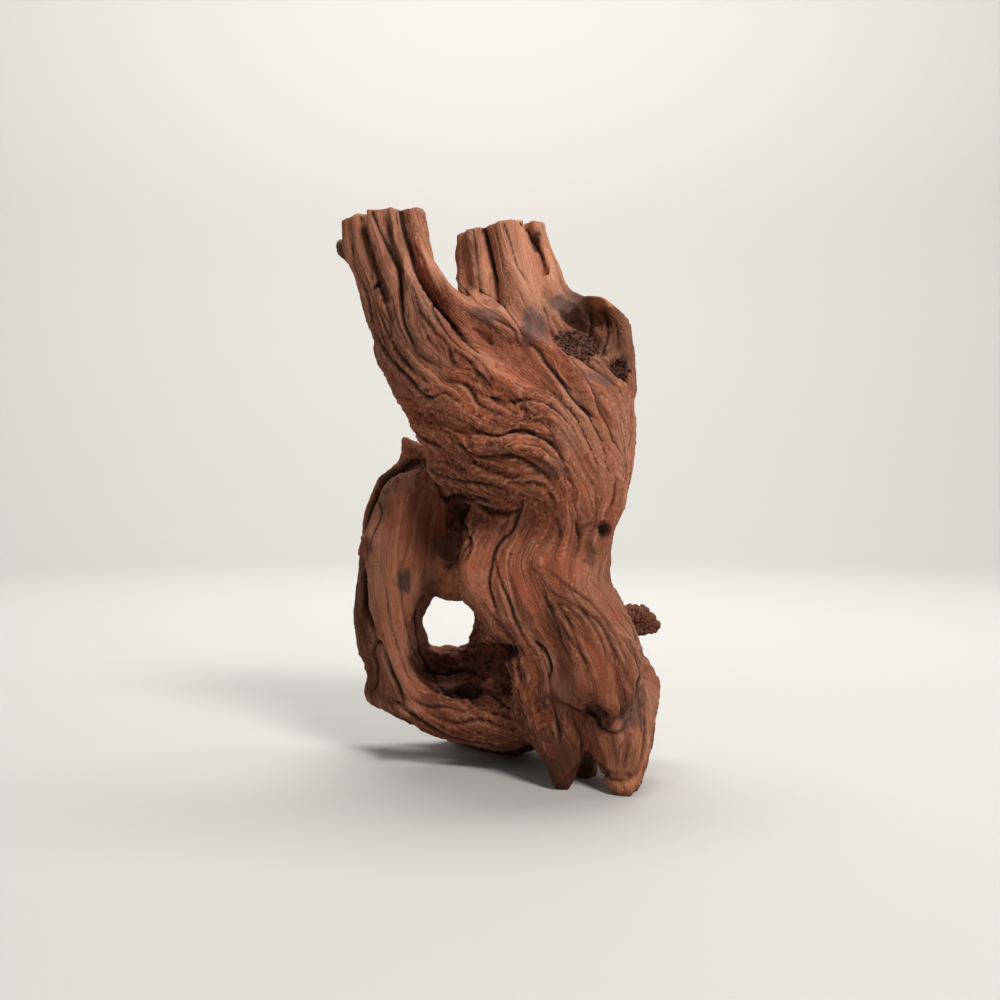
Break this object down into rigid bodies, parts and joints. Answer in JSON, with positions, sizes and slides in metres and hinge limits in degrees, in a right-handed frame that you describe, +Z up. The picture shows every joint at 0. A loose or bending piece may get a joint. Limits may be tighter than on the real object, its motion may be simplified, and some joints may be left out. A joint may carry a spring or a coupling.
{
  "type": "driftwood",
  "caption": "Weathered red-brown root crown of driftwood with sawn limbs, a burl, a strut beside a through hole, and pointed feet to stand on as an ornament.",
  "frame": {"origin": "on the surface it stands on, under the middle of its outer size", "axes": "+Z up, front with the draped lobes and the open basin towards -Y, burl and feet towards +X"},
  "size_m": [0.1592, 0.1068, 0.2604],
  "materials": {
    "wood": "dry, unvarnished and weathered, matte"
  },
  "bodies": {
    "root": {"driftwood": "wood"}
  },
  "joints": []
}
